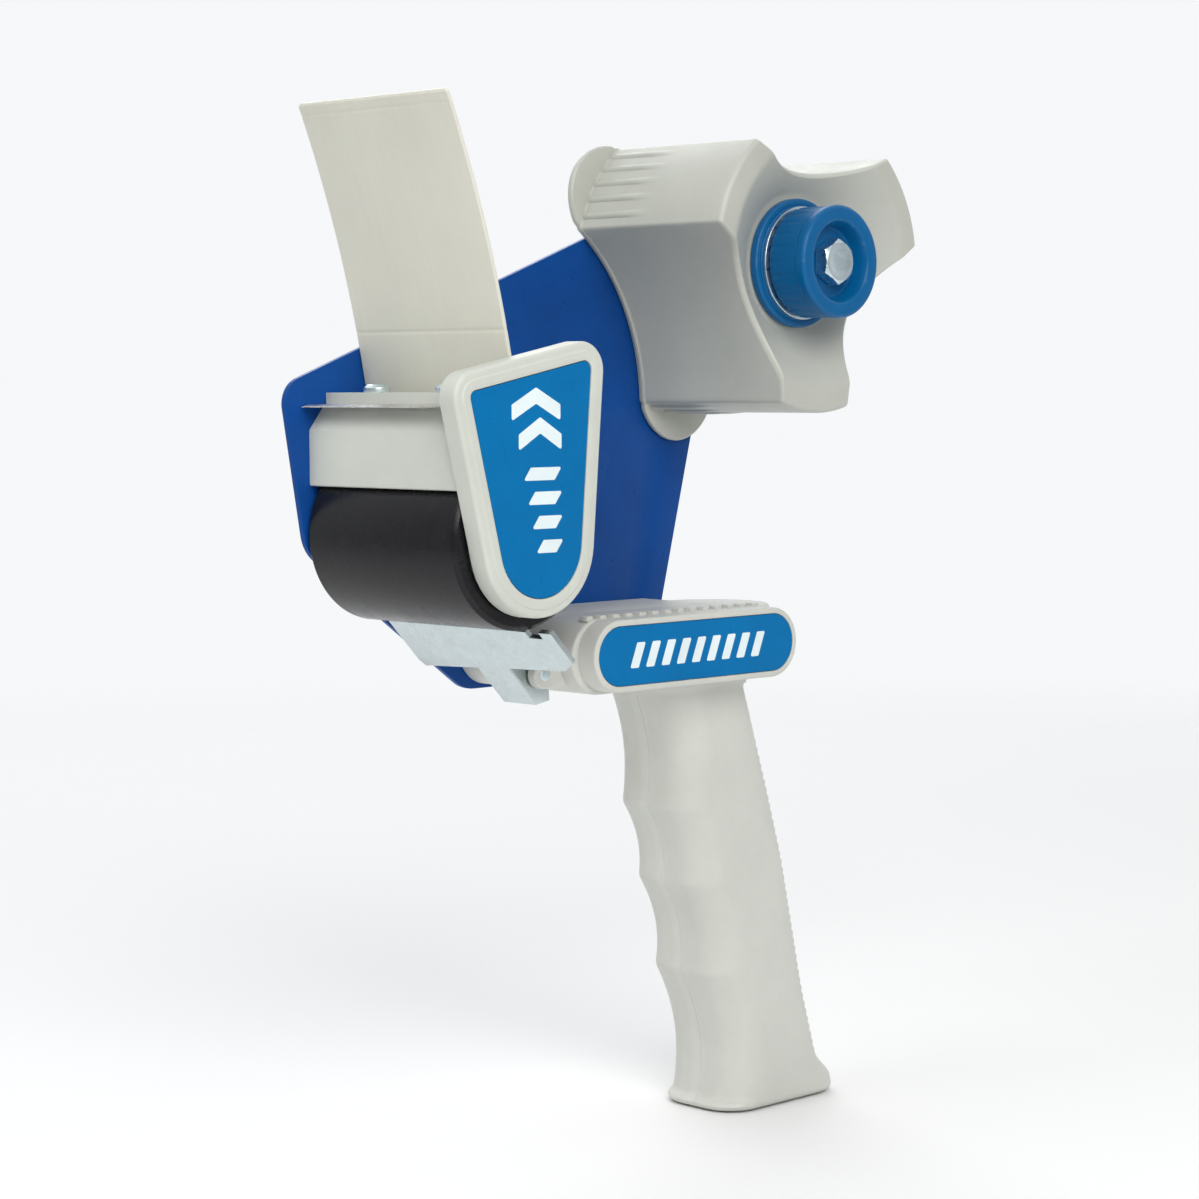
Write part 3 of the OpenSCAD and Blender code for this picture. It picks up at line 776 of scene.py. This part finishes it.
def knob_solid():
    """Fluted knob with a pocket for the bolt's head."""
    low, high = box_mm("brake_knob")
    front, back = low[1], high[1]
    rim_r = high[0]
    floor = box_mm("brake_bolt")[0][1] + 4
    seat = box_mm("spring_seat")[0][1] - 0.3
    body_r = rim_r - 0.2
    profile = rounded_path([
        (3.02, floor, 0), (8.6, floor, 0.6), (9.5, front + 1.5, 1.2), (10.1, front, 1.5),
        (rim_r, front, 1.1), (rim_r, front + 2.6, 0.4), (body_r, front + 3.1, 0.3),
        (body_r, back, 0.8), (10.0, back, 0.3), (10.0, seat, 0.4), (3.02, seat, 0)], 7)
    flutes = 24
    angles = np.linspace(0, TURN, flutes * 16, endpoint=False)
    groove = 0.3 * np.clip(np.cos(flutes * angles) - 0.25, 0, None) / 0.75
    rings = []
    for radius, y in profile:
        on_body = smooth_step(y, front + 2.9, front + 4.2) * (radius > 12)
        on_body *= 1 - 0.7 * smooth_step(y, back - 0.9, back)
        rings.append(polar_ring(angles, radius - groove * on_body, y))
    return Solid().add(*loft(insert_rows(rings, 1.5), loop=True))


def insert_rows(rings, spacing):
    """Adds rings where neighbours are far apart, so that shading stays smooth."""
    full = []
    for here, after in zip(rings, rings[1:] + rings[:1]):
        steps = int(np.abs(after - here).max() // spacing) + 1
        full += [here + (after - here) * k / steps for k in range(steps)]
    return full


def disc_solid():
    low, high = box_mm("friction_disc")
    outer = high[0]
    profile = rounded_path([
        (6.1, low[1], 0), (outer - 2.2, low[1], 0), (outer - 1.8, low[1] + 0.25, 0.2),
        (outer - 1.2, low[1], 0.3), (outer, low[1], 0.7), (outer, high[1], 0.5),
        (6.1, high[1], 0)], 5)
    return Solid().add(*revolve(profile))


def bolt_solid():
    """Chamfered hexagon head on a plain shank."""
    low, high = box_mm("brake_bolt")
    half_flat = high[0]
    angles = np.linspace(0, TURN, 180, endpoint=False)
    in_side = (angles + TURN / 12) % (TURN / 6) - TURN / 12
    hexagon = half_flat / np.cos(in_side)
    shank_r = 2.95
    seat_y = low[1] + 4
    rings = [polar_ring(angles, half_flat * r, low[1] + d)
             for r, d in ((0.3, 0.12), (0.62, 0.1), (0.7, 0.0), (0.9, 0.0))]
    for k in range(9):
        depth = 0.16 * k
        chamfer = half_flat * 0.93 + depth * math.tan(math.radians(60))
        rings.append(polar_ring(angles, np.minimum(hexagon - 0.03, chamfer), low[1] + depth))
    rings += [polar_ring(angles, hexagon - 0.03, seat_y - 0.25),
              polar_ring(angles, hexagon - 0.3, seat_y),
              polar_ring(angles, shank_r, seat_y),
              polar_ring(angles, shank_r, high[1] - 0.6),
              polar_ring(angles, shank_r - 0.6, high[1])]
    return Solid().add(*loft(rings))


def helix(coil_r, y0, y1, turns, at=(0, 0), per_turn=36):
    """Points along a coil round a line along Y, with its end turns closed up."""
    t = np.linspace(0, 1, int(turns * per_turn) + 1)
    closed = 0.75 / turns
    rise = smooth_step(t, -closed * 0.5, 1 + closed * 0.5)
    rise = (rise - rise[0]) / (rise[-1] - rise[0])
    angles = TURN * turns * t
    return np.stack([at[0] + coil_r * np.cos(angles), y0 + (y1 - y0) * rise,
                     at[1] + coil_r * np.sin(angles)], 1)


def brake_spring_solid():
    low, high = box_mm("brake_spring")
    wire = 0.6
    coil_r = high[0] - wire
    return Solid().add(*tube(helix(coil_r, low[1] + wire, high[1] - wire, 2.5), wire))


make("knob_moulding", knob_solid(), KNOB, "brake_knob", sharp_angle=50)
make("friction_disc_moulding", disc_solid(), KNOB, "friction_disc")
make("brake_bolt_turned", bolt_solid(), ZINC, "brake_bolt", sharp_angle=24)
make("brake_spring_wire", brake_spring_solid(), WIRE, "brake_spring")
for node, edge in (("thrust_washer", 0.15), ("spring_seat", 0.12), ("hub_spindle", 0.25)):
    refine(node, ZINC, edge)


# ---------- front bracket and blade ----------

ARM_LOW, ARM_HIGH = box_mm("front_bracket")
ROLLER_LOW, ROLLER_HIGH = box_mm("roller_sleeve")
ROLLER_AT = (ROLLER_LOW + ROLLER_HIGH)[[0, 2]] / 2
ARM_THICK = 6.0
ARM_FACE = ARM_LOW[1]
ARM_CIRCLES = [(ARM_LOW[0] + 6, ARM_HIGH[2] - 12.5, 6),
               (ARM_HIGH[0] - 6.5, ARM_HIGH[2] - 6.5, 6.5),
               (ROLLER_AT[0], ARM_LOW[2] + 16.8, 16.8)]
ARM_OUTLINE = Outline(ARM_CIRCLES, 24)
LABEL_INSET = 4.4
BAR_FRONT = ARM_LOW[0] + 6.3
BAR_TOP = box_mm("cutting_blade")[0][2]
PLATE_FACE = box_mm("side_plate")[0][1]


def arm_profile():
    """From the label's recess over the rim to the inner face, as (inset, y)."""
    recess = ARM_FACE + 0.9
    return rounded_path([
        (LABEL_INSET + 1.0, recess, 0), (LABEL_INSET, recess, 0.1),
        (LABEL_INSET - 0.1, ARM_FACE + 0.15, 0.3), (LABEL_INSET - 1.0, ARM_FACE, 0.5),
        (LABEL_INSET - 2.3, ARM_FACE, 0.6), (LABEL_INSET - 2.6, ARM_FACE + 0.35, 0.3),
        (0.0, ARM_FACE + 0.5, 1.8), (0, ARM_FACE + ARM_THICK, 0.5),
        (1.5, ARM_FACE + ARM_THICK, 0)], 6)


def crossbar():
    """Channel that joins the arm to the side plate and carries the blade."""
    front, top = BAR_FRONT, BAR_TOP
    foot = top - 7.2
    low = top - 18.2
    section = rounded_path([
        (front, low, 0.5), (front, top - 5.2, 0.9), (front + 3.5, top - 0.7, 0.5),
        (front + 4.2, top, 0.2), (front + 17.15, top, 0.4), (front + 18.2, foot, 0.3),
        (front + 15.2, foot, 0.3), (front + 14.5, top - 3.0, 0.6), (front + 5.4, top - 3.0, 0.8),
        (front + 3.0, top - 6.7, 0.8), (front + 3.0, low + 2.5, 0.8), (front + 1.3, low, 0.4)],
        4, closed=True)
    return prism(section, ARM_FACE + ARM_THICK - 1, PLATE_FACE)


def crossbar_end():
    """Solid block at the plate's end of the channel, which takes the bracket's screws."""
    front, top = BAR_FRONT, BAR_TOP
    block = rounded_path([(front + 0.2, top - 18, 0.5), (front + 0.2, top - 5.2, 0.5),
                        (front + 4.2, top - 0.2, 0.4), (front + 17.0, top - 0.2, 0.4),
                        (front + 18.1, top - 7.2, 0.3), (front + 10, top - 7.2, 1.0),
                        (front + 3.0, top - 15.7, 1.0), (front + 1.3, top - 18, 0.4)],
                       4, closed=True)
    return prism(block, PLATE_FACE - 6, PLATE_FACE - 0.02, 0.3)


def bracket_solid():
    """The arm, the channel and its end block."""
    solid = Solid().add(*plate(ARM_OUTLINE, arm_profile()))
    return solid.add(*crossbar()).add(*crossbar_end())


def arm_label_solid():
    low, high = box_mm("arm_label")
    outline = Outline([(x, z, r - LABEL_INSET - 0.1) for x, z, r in ARM_CIRCLES], 24)
    return Solid().add(*rounded_plate(outline, low[1], high[1], 0.12, 0.02))


def print_prism(corners, face_y):
    """Ink that stands a hair proud of a label's face."""
    return loft([at_y(corners, face_y - 0.03), at_y(corners, face_y + 0.1)])


def slanted_bar(middle, width, height, lean):
    """Rounded corners (x, z) of a bar whose top is moved along by lean."""
    x, z = middle
    corners = [(x - (width + lean) / 2, z - height / 2), (x + (width - lean) / 2, z - height / 2),
               (x + (width + lean) / 2, z + height / 2), (x - (width - lean) / 2, z + height / 2)]
    return rounded_path([(u, v, 0.35) for u, v in corners], 4, closed=True)


def arm_print_solid():
    """Two nested chevrons over a column of slanted bars."""
    face_y = box_mm("arm_label")[0][1]
    top = ARM_HIGH[2] - 13.5
    solid = Solid()
    for row in range(2):
        x, z = ROLLER_AT[0] - 1.5 + 1.2 * row, top - 6.6 * row
        half = 7.4 - 0.9 * row
        chevron = rounded_path([(x - half, z - 4.2, 0.4), (x - half, z - 0.6, 0.4),
                                (x, z + 3.2, 0.6), (x + half, z - 0.6, 0.4),
                                (x + half, z - 4.2, 0.4), (x, z - 0.4, 0.6)], 4, closed=True)
        solid.add(*print_prism(chevron, face_y))
    for row in range(4):
        middle = (ROLLER_AT[0] + 0.4 + 0.7 * row, top - 16.0 - 5.4 * row)
        solid.add(*print_prism(slanted_bar(middle, 9.4 - 1.1 * row, 2.9, 2.2), face_y))
    return solid


def blade_solid():
    """Thin ground strip whose teeth droop a little towards their points."""
    low, high = box_mm("cutting_blade")
    teeth, tooth = 34, 1.5
    bend = low[0] + 2.6
    rings = []
    for k in range(2 * teeth + 1):
        y = low[1] + (high[1] - low[1]) * k / (2 * teeth)
        front = low[0] + (tooth if k % 2 == 0 else 0.0)
        drop = 0.24 * (bend - front)
        section = [(high[0], high[2]), (bend, high[2]), (front, high[2] - drop),
                   (front, high[2] - drop - 0.17), (bend + 0.4, high[2] - 0.65),
                   (high[0], high[2] - 0.65)]
        rings.append(np.array([(x, y, z) for x, z in section]))
    return Solid().add(*loft(rings))


make("bracket_moulding", bracket_solid(), CREAM, "front_bracket")
make("arm_label_foil", arm_label_solid(), FOIL, "arm_label")
make("arm_label_print", arm_print_solid(), PRINT, "arm_label", stands_for=())
refine("blade_clamp", CREAM, 0.45)
make("blade_strip", blade_solid(), BLADE, "cutting_blade", sharp_angle=20)
for node in ("blade_screws", "bracket_screws", "handle_screws", "grip_screws", "flap_screws"):
    refine(node, ZINC, 0.18, 2)


# ---------- steel plate ----------

refine("side_plate", COAT, 0.35)


# ---------- flap ----------

def circle_through(first, second, third):
    """Centre and radius of the circle through three points."""
    a, b, c = (np.array(p, float) for p in (first, second, third))
    matrix = 2 * np.array([b - a, c - a])
    centre = np.linalg.solve(matrix, [b @ b - a @ a, c @ c - a @ a])
    return centre, np.linalg.norm(a - centre)


def flap_solid():
    """Curved strip, thinned at its crease and near its free edge."""
    root_low, root_high = box_mm("flap_root")
    blade_low, blade_high = box_mm("flap_blade")
    thick = 1.0
    crease = JOINT_AT["flap_flex"][[0, 2]]
    foot = (root_high[0] - 0.49 * thick, root_low[2])
    top = (blade_low[0] + 0.46 * thick, blade_high[2])
    centre, radius = circle_through(foot, crease, top)
    heights = np.concatenate([np.linspace(foot[1], crease[1] - 2, 26),
                              np.linspace(crease[1] - 1.8, crease[1] + 1.8, 19),
                              np.linspace(crease[1] + 2, top[1] - 4, 56),
                              np.linspace(top[1] - 3.8, top[1] - 1.0, 17),
                              np.linspace(top[1] - 0.9, top[1], 8)])
    band, edge, corner = 5.0, 0.42, 0.9
    rings = []
    for z in heights:
        angle = math.asin((z - centre[1]) / radius)
        over = max(0.0, z - (top[1] - corner))
        half = blade_high[1] - (corner - math.sqrt(corner ** 2 - over ** 2))
        thin = 1 - 0.22 * math.exp(-((z - crease[1]) / 0.4) ** 2)
        thin -= 0.16 * math.exp(-((z - top[1] + 2.6) / 0.35) ** 2)
        thin *= 1 - 0.5 * smooth_step(z, top[1] - 0.5, top[1])
        section = rounded_path([
            (-half, 0.5, edge), (-half + band, 0.5, 0.4), (-half + band + 0.6, 0.38, 0.4),
            (half - band - 0.6, 0.38, 0.4), (half - band, 0.5, 0.4), (half, 0.5, edge),
            (half, -0.5, edge), (-half, -0.5, edge)], 4, closed=True)
        out = radius + section[:, 1] * thick * thin
        rings.append(np.stack([centre[0] + out * math.cos(angle), section[:, 0],
                               centre[1] + out * math.sin(angle)], 1))
    return Solid().add(*loft(rings))


def add_flap():
    """One curved sheet, thinned at its crease, so it stands for the foot and the blade."""
    piece = show("flap_strip", mesh_of("flap_strip", flap_solid(), 40), FLAP, None,
                 ("flap_root", "flap_blade"))
    crease = JOINT_AT["flap_flex"]
    start, end = crease.copy(), crease.copy()
    start[2] -= 3
    end[2] += 5
    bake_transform(piece)


add_flap()
refine("flap_clip", ZINC, 0.2)


# ---------- roller ----------

def sleeve_solid():
    outer = (ROLLER_HIGH[0] - ROLLER_LOW[0]) / 2
    inner = outer - 4
    profile = rounded_path([
        (inner, ROLLER_LOW[1], 0), (outer - 0.9, ROLLER_LOW[1], 0.3),
        (outer, ROLLER_LOW[1] + 0.9, 0.5), (outer, ROLLER_HIGH[1] - 0.9, 0.5),
        (outer - 0.9, ROLLER_HIGH[1], 0.3), (inner, ROLLER_HIGH[1], 0)], 4)
    return Solid().add(*revolve(profile, ROLLER_AT, 160))


make("roller_sleeve_rubber", sleeve_solid(), RUBBER, "roller_sleeve")
refine("roller_core", BLACK, 0.35)
refine("roller_axle", ZINC, 0.25)


# ---------- handle ----------

LABEL_LOW, LABEL_HIGH = box_mm("handle_label")
NEAR_LOW, NEAR_HIGH = box_mm("handle_near_shell")
FAR_LOW, FAR_HIGH = box_mm("handle_far_shell")
SPLIT_Y = FAR_LOW[1]
SEAM = 0.015
RIDGES_Z = np.array([-90.0, -103, -134.4, -154, -177.3, -213])
RIDGES_X = np.array([-43.4, -40.3, -35.0, -29.3, -23.4, -17.9])
GROOVE_DEPTHS = (3.0, 2.4, 2.9, 4.4)
SPINE_Z = np.array([-90.0, -107, -134, -150, -166, -185, -203, -213])
SPINE_X = np.array([-15.0, -9.0, -0.4, 4.4, 8.0, 12.2, 17.6, 20.4])
GRIP_ROUND = 9.0
GRIP_SCREWS_AT = ((-20.0, -124.0), (2.0, -200.0))
TANG_X = -12.0
BAR_R = 9.0
LABEL_RIM = 1.6


def smooth_curve(z, places, values, soften):
    """Straight-line interpolation, averaged over a short stretch to soften its corners."""
    offsets = np.linspace(-soften, soften, 9)
    weights = np.cos(offsets / soften * math.pi / 2) + 0.01
    total = sum(w * np.interp(-(z + o), -places, values) for o, w in zip(offsets, weights))
    return total / weights.sum()


def finger_groove(z):
    """How far the front is hollowed between two ridges."""
    for top, low, depth in zip(RIDGES_Z[1:], RIDGES_Z[2:], GROOVE_DEPTHS):
        if low < z < top:
            return depth * math.sin(math.pi * (top - z) / (top - low)) ** 0.85
    return 0.0


def soft_groove(z):
    """The groove with its ridges rounded off."""
    return sum(finger_groove(z + o) for o in (-1.0, -0.5, 0.0, 0.5, 1.0)) / 5


def grip_section(z, side, inset=0.0):
    """Half of the grip's cross-section at a height, closed along the split plane."""
    butt = NEAR_LOW[2]
    front = smooth_curve(z, RIDGES_Z, RIDGES_X, 1.5) + soft_groove(z)
    front -= 1.7 * smooth_step(z, butt + 3.4, butt + 1.2)
    back = smooth_curve(z, SPINE_Z, SPINE_X, 6.0)
    back += 3.9 * smooth_step(z, butt + 10.5, butt + 3.5)
    collar = 1.6 * smooth_step(z, -107.0, -102.0) ** 2
    front, back = front + inset - collar, back - inset + collar
    half = 14.0 + collar - inset
    radius = GRIP_ROUND - 0.5 * inset
    rib = 0.22 * math.cos(TURN * z / 2.1)
    rib *= smooth_step(z, -118, -121) * smooth_step(z, -203, -200)
    section = [(front + 0.1, SEAM), (front, SEAM + 0.1), (front, 1.6), (front, 3.4)]
    for angle in np.linspace(math.pi, math.pi / 2, 15):
        section.append((front + radius * (1 + math.cos(angle)),
                        half - radius + radius * math.sin(angle)))
    for t in np.linspace(0, 1, 6)[1:-1]:
        section.append((front + radius + t * (back - front - 2 * radius), half))
    for angle in np.linspace(math.pi / 2, 0, 15):
        wave = rib * smooth_step(math.cos(angle), 0.35, 0.75)
        section.append((back - radius * (1 - math.cos(angle)) + wave,
                        half - radius + radius * math.sin(angle)))
    section += [(back + rib, 3.4), (back + rib, 1.6), (back + rib, SEAM + 0.1),
                (back - 0.1, SEAM)]
    flat = np.array(section)
    return np.stack([flat[:, 0], SPLIT_Y + side * flat[:, 1], np.full(len(flat), z)], 1)


def grip_half(side):
    """One half of the grip, down to its rounded butt."""
    butt = NEAR_LOW[2]
    edge = 1.8
    rings = [grip_section(z, side) for z in np.arange(-97.0, butt + edge, -0.42)]
    for turn in np.linspace(0, math.pi / 2, 6):
        rings.append(grip_section(butt + edge * (1 - math.sin(turn)), side,
                                  edge * (1 - math.cos(turn))))
    return loft(rings)


def tang_section(z, radius, side):
    """Half ring of the collar where the grip meets the bar."""
    angles = np.linspace(0, math.pi, 25)
    x = TANG_X + radius * np.cos(angles)
    y = SPLIT_Y + side * (SEAM + radius * np.sin(angles))
    return np.stack([x, y, np.full(len(angles), z)], 1)


def tang_half(side):
    top = NEAR_HIGH[2] - 0.15
    rings = [tang_section(z, r, side) for r, z in rounded_path([
        (9.0, top - 20, 0), (11.0, top - 12, 6), (14.9, top - 6, 3), (14.9, top, 1.0),
        (12.0, top, 0)], 6)]
    return loft(rings)


def bar_outline():
    """Stadium of the handle's top bar, a little inside the boss."""
    middle_z = NEAR_HIGH[2] - BAR_R
    front, back = LABEL_LOW[0] + 5.9, LABEL_HIGH[0] - 7.6
    return Outline([(front, middle_z, BAR_R), (back, middle_z, BAR_R)], 32)


def label_outline(rim):
    """The handle label's stadium, widened by a rim."""
    middle_z = (LABEL_LOW[2] + LABEL_HIGH[2]) / 2
    half = (LABEL_HIGH[2] - LABEL_LOW[2]) / 2
    return Outline([(LABEL_LOW[0] + half, middle_z, half + rim),
                    (LABEL_HIGH[0] - half, middle_z, half + rim)], 32)


def boss():
    """Raised end of the bar, with a recess for the label."""
    rim, face = LABEL_RIM, NEAR_LOW[1]
    profile = rounded_path([
        (rim + 1.0, face + 0.8, 0), (rim - 0.1, face + 0.8, 0.1), (rim - 0.15, face + 0.1, 0.3),
        (0.9, face, 0.3), (0, face + 0.25, 0.9), (0, face + 7, 0), (1.5, face + 7, 0)], 6)
    return plate(label_outline(rim), profile)


def pin_lugs():
    """Two ears that hold the guide's pin."""
    pin_low, pin_high = box_mm("guide_pin")
    pivot = JOINT_AT["guide_pivot"]
    solids = []
    for start in (pin_low[1] + 0.3, pin_high[1] - 2.8):
        outline = Outline([(pivot[0], pivot[2], 3.4), (pivot[0] + 13.5, pivot[2], 3.4)], 16)
        solids.append(rounded_plate(outline, start, start + 2.5, 0.4, 0.4))
    return solids


def stop_row():
    """Row of small moulded stops along the top of the bar."""
    solids = []
    top = NEAR_HIGH[2]
    for k in range(14):
        x = LABEL_LOW[0] + 3.5 + 4.4 * k
        block = rounded_path([(x - 1.2, top - 0.5, 0), (x + 1.2, top - 0.5, 0),
                              (x + 1.0, top + 0.75, 0.3), (x - 1.0, top + 0.75, 0.3)],
                             3, closed=True)
        solids.append(prism(block, -13.2, -10.6, 0.25))
    return solids


def add_handle():
    """Near half in one piece; far half as a grip, bored for its screws, and a bar."""
    near = Solid().add(*grip_half(-1)).add(*tang_half(-1)).add(*boss())
    near.add(*rounded_plate(bar_outline(), NEAR_LOW[1] + 6, SPLIT_Y - SEAM, 0.9, 0.15))
    for solid in pin_lugs()[:1] + stop_row():
        near.add(*solid)
    make("handle_near_moulding", near, HANDLE, "handle_near_shell")
    far = Solid().add(*grip_half(1))
    piece = make("handle_far_moulding", far, HANDLE, "handle_far_shell")
    holes = Solid()
    bore = [(0.5, 12.0), (3.4, 12.0), (3.4, 18.0), (0.5, 18.0)]
    for at in GRIP_SCREWS_AT:
        holes.add(*revolve(bore, at, 48, loop=False))
    cut(piece, holes)
    rest = Solid().add(*tang_half(1))
    rest.add(*rounded_plate(bar_outline(), SPLIT_Y + SEAM, FAR_HIGH[1], 0.15, 0.3))
    for solid in pin_lugs()[1:]:
        rest.add(*solid)
    make("handle_far_bar", rest, HANDLE, "handle_far_shell")


def handle_label_solid():
    return Solid().add(*rounded_plate(label_outline(0.0), LABEL_LOW[1], LABEL_HIGH[1],
                                      0.12, 0.02))


def handle_print_solid():
    """A row of slanted stripes."""
    face_y = LABEL_LOW[1]
    middle = (LABEL_LOW + LABEL_HIGH)[[0, 2]] / 2
    solid = Solid()
    for k in range(9):
        place = (middle[0] + 5.2 * (k - 4), middle[1])
        solid.add(*print_prism(slanted_bar(place, 2.8, 6.0, 2.4), face_y))
    return solid


add_handle()
make("handle_label_foil", handle_label_solid(), FOIL, "handle_label")
make("handle_label_print", handle_print_solid(), PRINT, "handle_label", stands_for=())


# ---------- tape guide ----------

def guide_spring_solid():
    """Coil round the guide's pin."""
    low, high = box_mm("guide_spring")
    pivot = JOINT_AT["guide_pivot"]
    wire, coil_r = 0.4, 2.4
    coil = helix(coil_r, low[1] + wire, high[1] - wire, 7, (pivot[0], pivot[2]), 28)
    return Solid().add(*tube(coil, wire, 10))


refine("guide_plate", SHEET_ZINC, 0.28)
refine("guide_pin", ZINC, 0.25)
make("guide_spring_wire", guide_spring_solid(), WIRE, "guide_spring")
